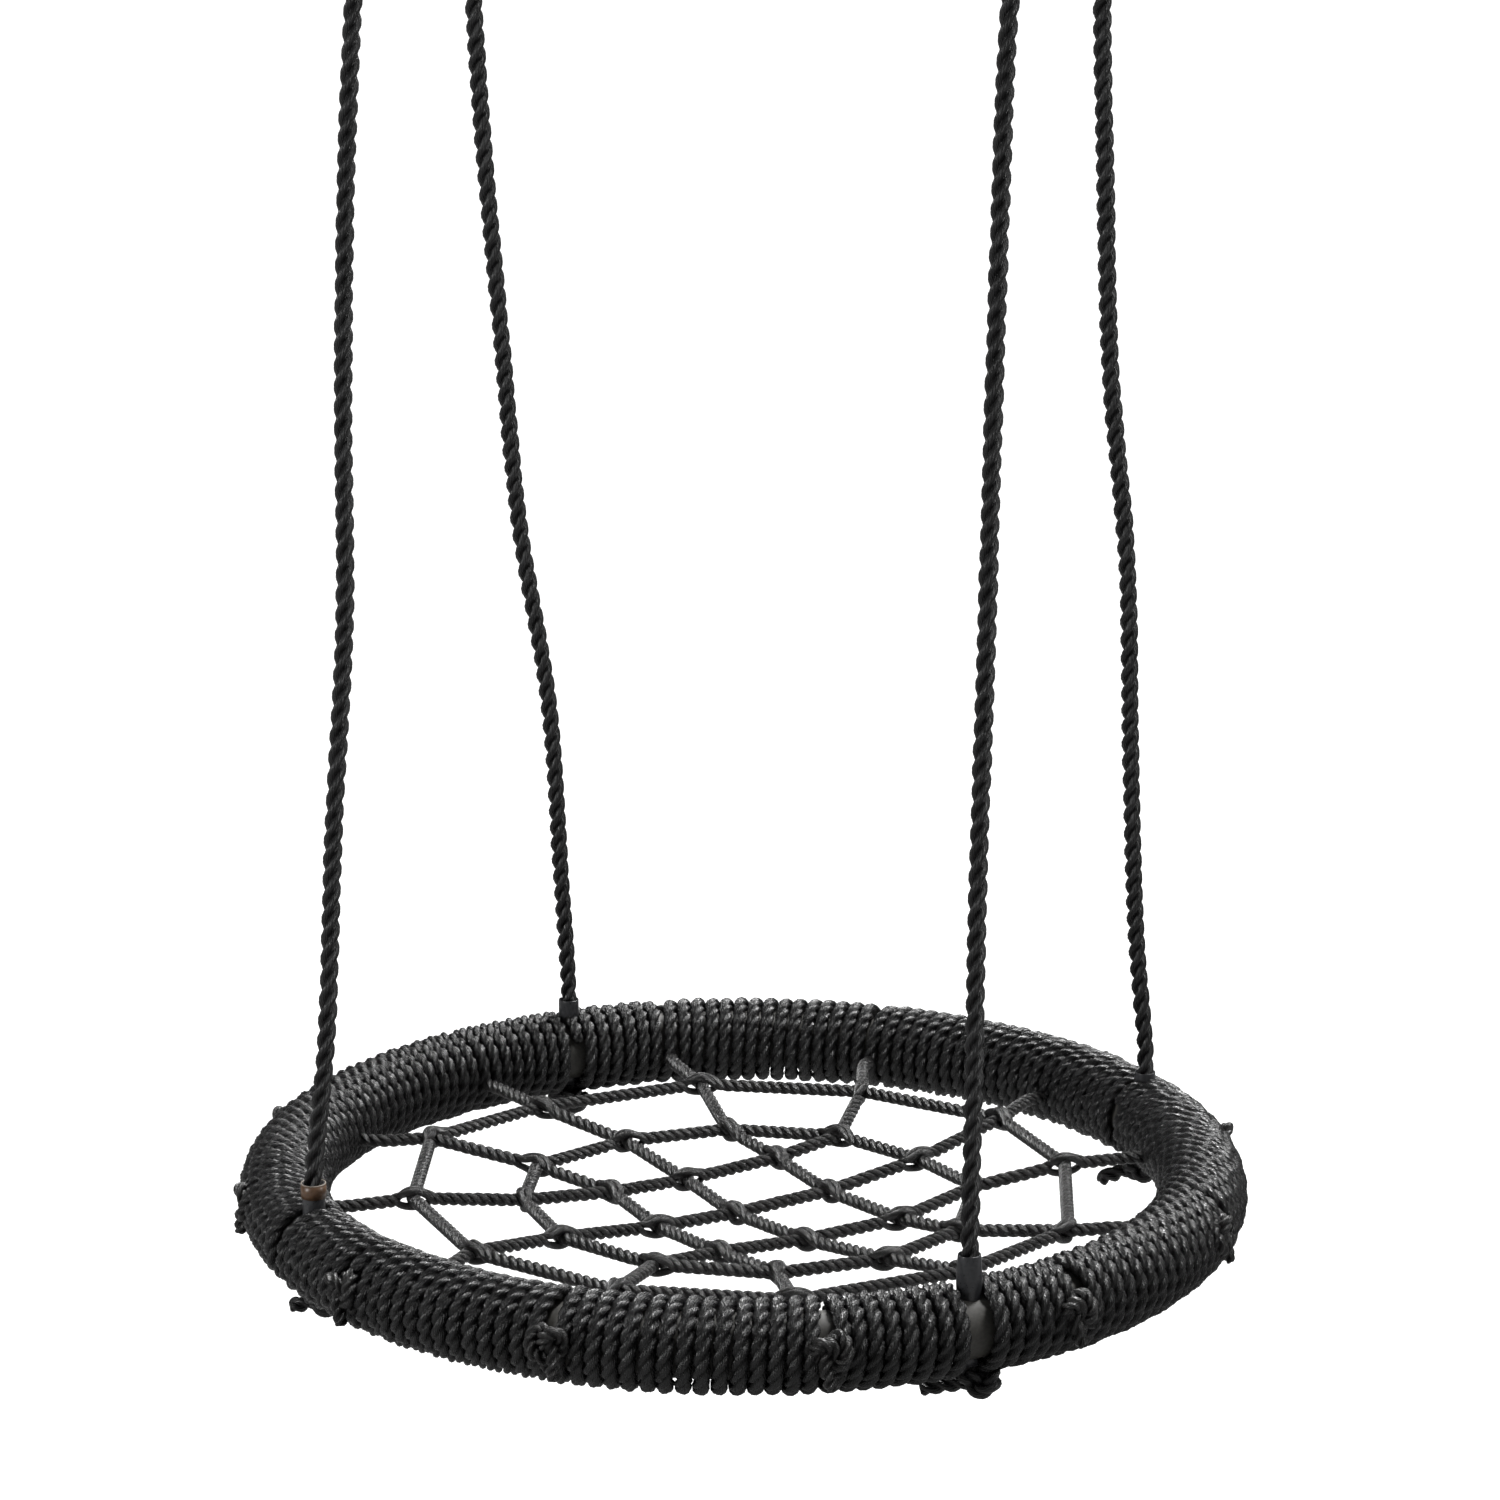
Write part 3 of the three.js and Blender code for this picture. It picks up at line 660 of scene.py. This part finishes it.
def wound_line(start, end):
    """A rope wound in a close helix on the ring's tube, parted where a net cord comes through."""
    turns = round((end - start) / WRAP_PITCH - PART_TURN) + PART_TURN
    n = int(turns * STEPS_PER_TURN) + 1
    t = np.linspace(0, 1, n)
    azimuth = np.radians(start + RUN_START + (end - start - RUN_SHORTER) * t)
    turn = -math.pi / 2 + 2 * math.pi * turns * t
    aside = ROOM * (ROOM_INSIDE + (1 - ROOM_INSIDE) * np.maximum(0, np.cos(turn - ROOM_LEAN)))
    for anchor in np.radians(ANCHORS):
        away = (azimuth - anchor + math.pi) % (2 * math.pi) - math.pi
        near = np.exp(-np.abs(away) / ROOM_FADE) * np.clip(np.abs(away) / ROOM_MIDDLE, 0, 1)
        azimuth = azimuth + np.sign(away) * near * aside / RING_RADIUS
    azimuth = azimuth + wander(n, *RUN_WANDER)
    minor = CORE_RADIUS + WRAP_ROPE / 2 * WRAP_BITE + wander(n, *SEAT_WANDER)
    radius = RING_RADIUS + minor * np.cos(turn)
    height = minor * np.sin(turn) - HANG_DROP
    line = np.stack([radius * np.cos(azimuth), radius * np.sin(azimuth), height], 1)
    outward = [np.cos(azimuth) * np.cos(turn), np.sin(azimuth) * np.cos(turn), np.sin(turn)]
    return line, np.stack(outward, 1), radius


def gap_edge(info, way):
    """The azimuth of one edge of the gap at a hanging rope: way is -1 for the first edge, 1 for the next."""
    half_gap = math.degrees(math.asin(info["gap"] / 2 / RING_RADIUS))
    return info["azimuth"] + way * half_gap - info["spread"][0 if way < 0 else 1]


for side_name, first, last in (
    ("right", "front_right", "back_right"),
    ("back", "back_right", "back_left"),
    ("left", "back_left", "front_left"),
    ("front", "front_left", "front_right"),
):
    start = gap_edge(HANGING[first], 1)
    end = gap_edge(HANGING[last], -1)
    if end < start:
        start -= 360
    line, outward, radius = wound_line(start, end)
    t = tangents(line)
    side = unit(np.cross(t, outward))
    rings = laid_rope(
        line,
        np.cross(side, t),
        side,
        distances(line),
        WRAP_ROPE,
        WRAP_LAY,
        WRAP_OUTLINE,
        squeeze=radius * math.radians(WRAP_PITCH) / WRAP_ROPE,
        cut=(True, True),
    )
    wrap = strip_mesh("wound_rope_" + side_name, [rings], WRAP_BLACK)
    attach(wrap, "ring")
    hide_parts("rope_wrap_" + side_name)


# --- Net ---

STRAND_SIDES = 10
OPENING = 0.025  # along the cord, from the middle of an opening to its end
STRANDS_APART = ((-0.0084, 0), (0.0080, -0.0036), (0.0080, 0.0036))  # up and across, in an opening
STRAND_SWELL = 0.24  # a parted strand is this much thicker
STRAIGHTENED = 0.8  # and this part of its twist is gone


def net_point(node, height):
    return np.array([node[0], node[1], height - HANG_DROP])


def net_cord(name, replaced, points, opened, closed=False):
    """A cord of three strands. At each point of opened, its strands part to let a cord through."""
    line, along, length = resample(spline(points, closed), NET_STEP, closed)
    up_dir, side_dir = frame_about(line, UP, closed)
    n = len(line)
    openness = np.zeros(n)
    openings = []
    for point in opened:
        here = int(np.argmin(np.linalg.norm(line - point, axis=1)))
        gap = np.abs(along - along[here])
        if closed:
            gap = np.minimum(gap, length - gap)
        parted = np.where(gap < OPENING, np.cos(gap / OPENING * math.pi / 2) ** 2, 0)
        openness = np.maximum(openness, parted)
        openings.append((here, parted[:, None]))
    rate = (1 - STRAIGHTENED * np.minimum(1, openness * 1.3)) * 2 * math.pi / NET_LAY
    angle = np.cumsum(rate) * (along[1] - along[0])
    if closed:
        angle *= 2 * math.pi * round(angle[-1] / (2 * math.pi)) / angle[-1]
    else:
        angle = angle + wander(n, *NET_LAY_WANDER)
    radius = NET_CORD / 2
    offsets = []
    for k in range(3):
        a = angle + 2 * math.pi * k / 3
        offsets.append(np.stack([np.cos(a), np.sin(a)], 1) * radius * STRAND_OUT)
    for here, parted in openings:
        lowest = min(range(3), key=lambda k: offsets[k][here][0])
        others = sorted((k for k in range(3) if k != lowest), key=lambda k: offsets[k][here][1])
        for k, place in zip((lowest, *others), STRANDS_APART):
            offsets[k] = offsets[k] * (1 - parted) + np.array(place) * parted
    phi = 2 * math.pi * np.arange(STRAND_SIDES) / STRAND_SIDES
    tubes = []
    for offset in offsets:
        centre = line + offset[:, :1] * up_dir + offset[:, 1:] * side_dir
        uneven = wander(n, *STRAND_WANDER)
        if closed:
            uneven = 0  # random values would leave a step where the cord meets itself
        strand_radius = radius * STRAND * (1.0 + STRAND_SWELL * openness + uneven)
        t = tangents(centre, closed)
        s = unit(np.cross(t, up_dir))
        u = np.cross(s, t)
        circle = np.cos(phi)[None, :, None] * u[:, None, :] + np.sin(phi)[None, :, None] * s[:, None, :]
        tubes.append((centre[:, None, :] + circle * strand_radius[:, None, None], along, closed))
    cord = strip_mesh(name, tubes, NET_BLACK)
    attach(cord, "ring")
    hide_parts(replaced)


def bend_at(previous, node, following):
    """Points that keep a taut cord straight up to a short bend at a crossing."""
    return [node + unit(previous - node) * TAUT, node, node + unit(following - node) * TAUT]


lattice = [[net_point(LATTICE[r][c], LATTICE_HEIGHT[r][c]) for c in range(3)] for r in range(3)]
border = [net_point(node, BORDER_HEIGHT) for node in BORDER]
inner = [net_point(node, INNER_HEIGHT) for node in INNER]


def crossing_points(ends, middle):
    """The points of a cord from one hole to another over the crossings in the middle."""
    legs = []
    for k in ends:
        through = [ring_point(ANCHORS[k], r, -ANCHOR_DROP) for r in ANCHOR_RUN]
        legs.append([*through, border[k], inner[k]])
    nodes = [*legs[0], *middle, *legs[1][::-1]]
    straight = len(ANCHOR_RUN)
    points = nodes[:straight]
    for i in range(straight, len(nodes) - straight):
        points += bend_at(nodes[i - 1], nodes[i], nodes[i + 1])
    return points + nodes[-straight:]


def round_points(nodes):
    """The points of a closed cord through the nodes."""
    points = []
    for i, node in enumerate(nodes):
        points += bend_at(nodes[i - 1], node, nodes[(i + 1) % len(nodes)])
    return points


def crossing_cord(name, ends, middle, opened):
    """A cord across the ring. The border passes through it at odd holes, the inner ring at even ones."""
    opened = opened + [border[k] for k in ends if k % 2] + [inner[k] for k in ends if k % 2 == 0]
    net_cord("net_rope_" + name, "net_cord_" + name, crossing_points(ends, middle), opened)


for row, ends in enumerate(UPPER_CORDS):
    middle = lattice[row]
    crossing_cord(f"upper_{row + 1}", ends, middle, [middle[c] for c in range(3) if (row + c) % 3 != 1])
for column, ends in enumerate(LOWER_CORDS):
    middle = [lattice[r][column] for r in range(3)]
    crossing_cord(f"lower_{column + 1}", ends, middle, [middle[r] for r in range(3) if (r + column) % 3 == 1])
net_cord("net_rope_border", "net_border_ring", round_points(border), border[::2], closed=True)
net_cord("net_rope_inner", "net_inner_ring", round_points(inner), inner[1::2], closed=True)


# --- Knots ---

KNOT_OUTLINE = laid_outline(per_strand=5, spread=104, groove=0.44)
KNOT_HEIGHT = 0.003
KNOT_RADIUS = 0.5025  # from the ring's centre to an end knot's middle
KNOT_SINK = 0.010  # less this much at the left and right
KNOT_SHIFT = {0: -3.0, 11: -1.5, 7: 1.0, 6: 1.5}  # degrees that a knot lies beside its hole
KNOT_RUN = ((0.482, 0.004), (0.496, 0.012))  # radius and height of its cord on the way to it
KNOT_TILT = 0.3  # radians each way
END_KNOT_FULL = 1.02  # the knotted cord's diameter, over the free cord's


def overhand(centre, across, upward, outward, scale, depth):
    """The turns of an overhand knot, seen along outward, open at its lower side."""
    points = []
    for t in np.radians(np.linspace(205, 515, 22)):
        x = math.sin(t) + 2 * math.sin(2 * t)
        y = math.cos(t) - 2 * math.cos(2 * t)
        z = -math.sin(3 * t)
        points.append(centre + across * x * scale[0] + upward * y * scale[1] - outward * z * depth)
    return points


def knot_mesh(name, points, step, diameter, lay, outline, material):
    """A knotted rope end along the points, on the ring."""
    line, along, _ = resample(spline(points, samples=12), step)
    normal, side = carried_frame(line)
    rings = laid_rope(line, normal, side, along, diameter, lay, outline, cut=(False, True))
    knot = strip_mesh(name, [rings], material)
    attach(knot, "ring")
    return knot


for k, hole in enumerate(ANCHORS):
    azimuth = hole + KNOT_SHIFT.get(k, 0)
    outward = outward_at(azimuth)
    level = np.cross(UP, outward) * (1 if k % 3 else -1)
    tilt = rng.uniform(-KNOT_TILT, KNOT_TILT)
    upward = UP * math.cos(tilt) + level * math.sin(tilt)
    across = level * math.cos(tilt) - UP * math.sin(tilt)
    middle_radius = KNOT_RADIUS - KNOT_SINK * abs(math.cos(math.radians(azimuth)))
    centre = ring_point(azimuth, middle_radius, KNOT_HEIGHT)
    d = NET_CORD
    loops = overhand(centre, across, upward, outward, (0.38 * d, 0.60 * d), 0.40 * d)
    tail = [loops[-1] - upward * drop + outward * drop / 5 for drop in (0.005, 0.010)]
    points = [ring_point(a, r, h) for a, (r, h) in zip((hole, azimuth), KNOT_RUN)] + loops + tail
    name = f"{30 * k:03d}"
    size = (END_KNOT_STEP, d * END_KNOT_FULL, NET_LAY)
    knot = knot_mesh("end_knot_" + name, points, *size, KNOT_OUTLINE, NET_BLACK)
    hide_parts("net_knot_" + name)

STOPPER_RUN = (-0.030, STOPPER_TOP + 0.006)  # heights of the rope on its way down to its knot
STOPPER_MIDDLE = STOPPER_TOP - 0.006
STOPPER_TIGHT = 0.92  # the knotted rope's diameter, over the free rope's
STOPPER_LAY = HANGING_LAY * 0.75
for rope_name, info in HANGING.items():
    d = HANGING_ROPE
    tail = outward_at(info["tail"])
    centre = ring_point(info["azimuth"], RING_RADIUS, STOPPER_MIDDLE) + tail * info["knot_shift"]
    loops = overhand(centre, np.cross(UP, tail), -tail, -UP, (0.33 * d, 0.36 * d), 0.30 * d)
    points = [ring_point(info["azimuth"], RING_RADIUS, h) for h in STOPPER_RUN] + loops
    end = info["tail_length"]
    points += [loops[-1] + tail * 0.45 * end - UP * 0.001, loops[-1] + tail * end - UP * 0.12 * end]
    size = (STOPPER_STEP, d * STOPPER_TIGHT, STOPPER_LAY)
    knot = knot_mesh("stopper_" + rope_name, points, *size, HANGING_OUTLINE, HANGING_BLACK)
    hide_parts("stopper_knot_" + rope_name)


# --- Sleeves, tube and fittings ---

SLEEVE_BORE = 0.0095
SLEEVE_RADIUS = 0.0107
SLEEVE_FOOT = -0.036
SLEEVE_EDGE = 0.0006
SLEEVE_BULGE = 0.0002
SLEEVE_BULGE_FRONT_RIGHT = 0.0014
BULGE_START = 0.02
COLLAR_BORE = 0.0112
COLLAR_RADIUS = 0.0121
COLLAR_BOTTOM = 0.0515
COLLAR_TOP = 0.0650
RIM_BORE = 0.0110
RIM_HEIGHT = 0.0008
TUBE_SIDES = 48
TUBE_STEPS = 240
SHARP_EDGE = math.radians(38)


def turned(name, profile, place, material, segments=40):
    """A solid of revolution from (radius, height), its outline closed on itself, riding on the ring."""
    phi = 2 * math.pi * np.arange(segments) / segments
    profile = np.array(profile)
    around = np.stack([-np.sin(phi), np.cos(phi), np.zeros(segments)], 1)
    rings = place + profile[None, :, 0, None] * around[:, None, :] + profile[None, :, 1, None] * UP
    piece = strip_mesh(name, [(rings, np.arange(segments) * 0.002, True)], material)
    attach(piece, "ring")
    return piece


for rope_name, info in HANGING.items():
    top = info["sleeve"]
    bulge = SLEEVE_BULGE_FRONT_RIGHT if rope_name == "front_right" else SLEEVE_BULGE
    profile = []
    for h in np.linspace(SLEEVE_FOOT, top - SLEEVE_EDGE, 16):
        full = math.sin(math.pi * min(1, max(0, (h - BULGE_START) / (top - BULGE_START))))
        profile.append((SLEEVE_RADIUS + bulge * full, h))
    profile += [(SLEEVE_RADIUS - 0.0002, top), (SLEEVE_BORE + 0.0003, top)]
    profile += [(SLEEVE_BORE, top - SLEEVE_EDGE), (SLEEVE_BORE, SLEEVE_FOOT)]
    foot = ring_point(info["azimuth"], RING_RADIUS, 0)
    sleeve = turned("hose_" + rope_name, profile, foot, HOSE)
    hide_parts("sleeve_" + rope_name)

collar_foot = ring_point(HANGING["front_left"]["azimuth"], RING_RADIUS, 0)
collar_middle = (COLLAR_BOTTOM + COLLAR_TOP) / 2
profile = [
    (COLLAR_BORE, COLLAR_BOTTOM),
    (COLLAR_RADIUS, COLLAR_BOTTOM),
    (COLLAR_RADIUS + 0.0003, collar_middle),
    (COLLAR_RADIUS - 0.0001, COLLAR_TOP),
    (COLLAR_BORE, COLLAR_TOP),
]
collar = turned("brown_collar", profile, collar_foot, TAPE)
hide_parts("tape_collar")
rim_top = COLLAR_TOP + RIM_HEIGHT
profile = [
    (RIM_BORE, COLLAR_TOP),
    (COLLAR_RADIUS, COLLAR_TOP),
    (COLLAR_RADIUS - 0.0002, rim_top),
    (RIM_BORE, rim_top),
]
turned("collar_rim", profile, collar_foot, RIM)

phi = np.linspace(0, 2 * math.pi, TUBE_SIDES, endpoint=False)
theta = np.linspace(0, 2 * math.pi, TUBE_STEPS, endpoint=False)
reach = (RING_RADIUS + CORE_RADIUS * np.cos(phi))[None, :]
height = np.broadcast_to(CORE_RADIUS * np.sin(phi) - HANG_DROP, (TUBE_STEPS, TUBE_SIDES))
core = np.stack([reach * np.cos(theta)[:, None], reach * np.sin(theta)[:, None], height], axis=-1)
tube = strip_mesh("steel_tube", [(core, theta * RING_RADIUS, True)], TUBE)
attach(tube, "ring")
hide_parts("ring_tube")

for obj in CAD_PIECES.values():
    if obj.hide_render:
        continue
    obj.data.polygons.foreach_set("use_smooth", np.ones(len(obj.data.polygons), bool))
    obj.data.set_sharp_from_angle(angle=SHARP_EDGE)
    if not obj.material_slots:
        obj.data.materials.append(None)
    for entry in obj.material_slots:
        entry.link = "OBJECT"
        entry.material = STEEL


# --- Floor and light ---

FLOOR = -2.75
FLOOR_REACH = 60
FLOOR_GREY = 0.22
FILL = 0.16
WHITE = (1, 1, 1, 1)
AIM = Vector((0, 0, -1.8))

corners = [(x * FLOOR_REACH, y * FLOOR_REACH, FLOOR) for x, y in ((-1, -1), (1, -1), (1, 1), (-1, 1))]
floor_data = bpy.data.meshes.new("floor")
floor_data.from_pydata(corners, [], [(0, 1, 2, 3)])
floor = bpy.data.objects.new("floor", floor_data)
bpy.context.scene.collection.objects.link(floor)
material, tree, shader = new_material("floor_white")
shader.inputs["Base Color"].default_value = (FLOOR_GREY, FLOOR_GREY, FLOOR_GREY, 1)
shader.inputs["Roughness"].default_value = 0.9
shader.inputs["Emission Color"].default_value = WHITE
seen = add_node(tree, "LightPath").outputs["Is Camera Ray"]
tree.links.new(seen, shader.inputs["Emission Strength"])
floor_data.materials.append(material)

world = bpy.data.worlds.new("studio")
bpy.context.scene.world = world
world.use_nodes = True
tree = world.node_tree
backdrop = tree.nodes["Background"]
backdrop.inputs["Color"].default_value = WHITE
backdrop.inputs["Strength"].default_value = 1.0
fill = add_node(tree, "Background", {"Color": WHITE, "Strength": FILL})
seen = add_node(tree, "LightPath").outputs["Is Camera Ray"]
shaders = {"Fac": seen, 1: fill.outputs["Background"], 2: backdrop.outputs["Background"]}
choose = add_node(tree, "MixShader", shaders)
tree.links.new(choose.outputs["Shader"], tree.nodes["World Output"].inputs["Surface"])


def softbox(name, place, size, power, aim=AIM):
    data = bpy.data.lights.new(name, "AREA")
    data.shape = "RECTANGLE"
    data.size, data.size_y = size
    data.energy = power
    lamp = bpy.data.objects.new(name, data)
    bpy.context.scene.collection.objects.link(lamp)
    lamp.location = place
    lamp.rotation_euler = (aim - Vector(place)).to_track_quat("-Z", "Y").to_euler()


softbox("softbox_left", (-2.6, -3.0, -0.2), (0.7, 1.8), 100)
softbox("softbox_right", (3.8, 0.6, 0.6), (0.8, 1.8), 62)
softbox("softbox_back", (-0.6, 3.6, 1.2), (2.0, 0.8), 200, aim=Vector((0, 0, -1.9)))
sun_data = bpy.data.lights.new("overhead", "SUN")
sun_data.energy = 3.4
sun_data.angle = math.radians(12)
sun = bpy.data.objects.new("overhead", sun_data)
bpy.context.scene.collection.objects.link(sun)
sun.rotation_euler = (math.radians(-24), math.radians(10), 0)

bpy.context.scene.view_settings.view_transform = "Standard"
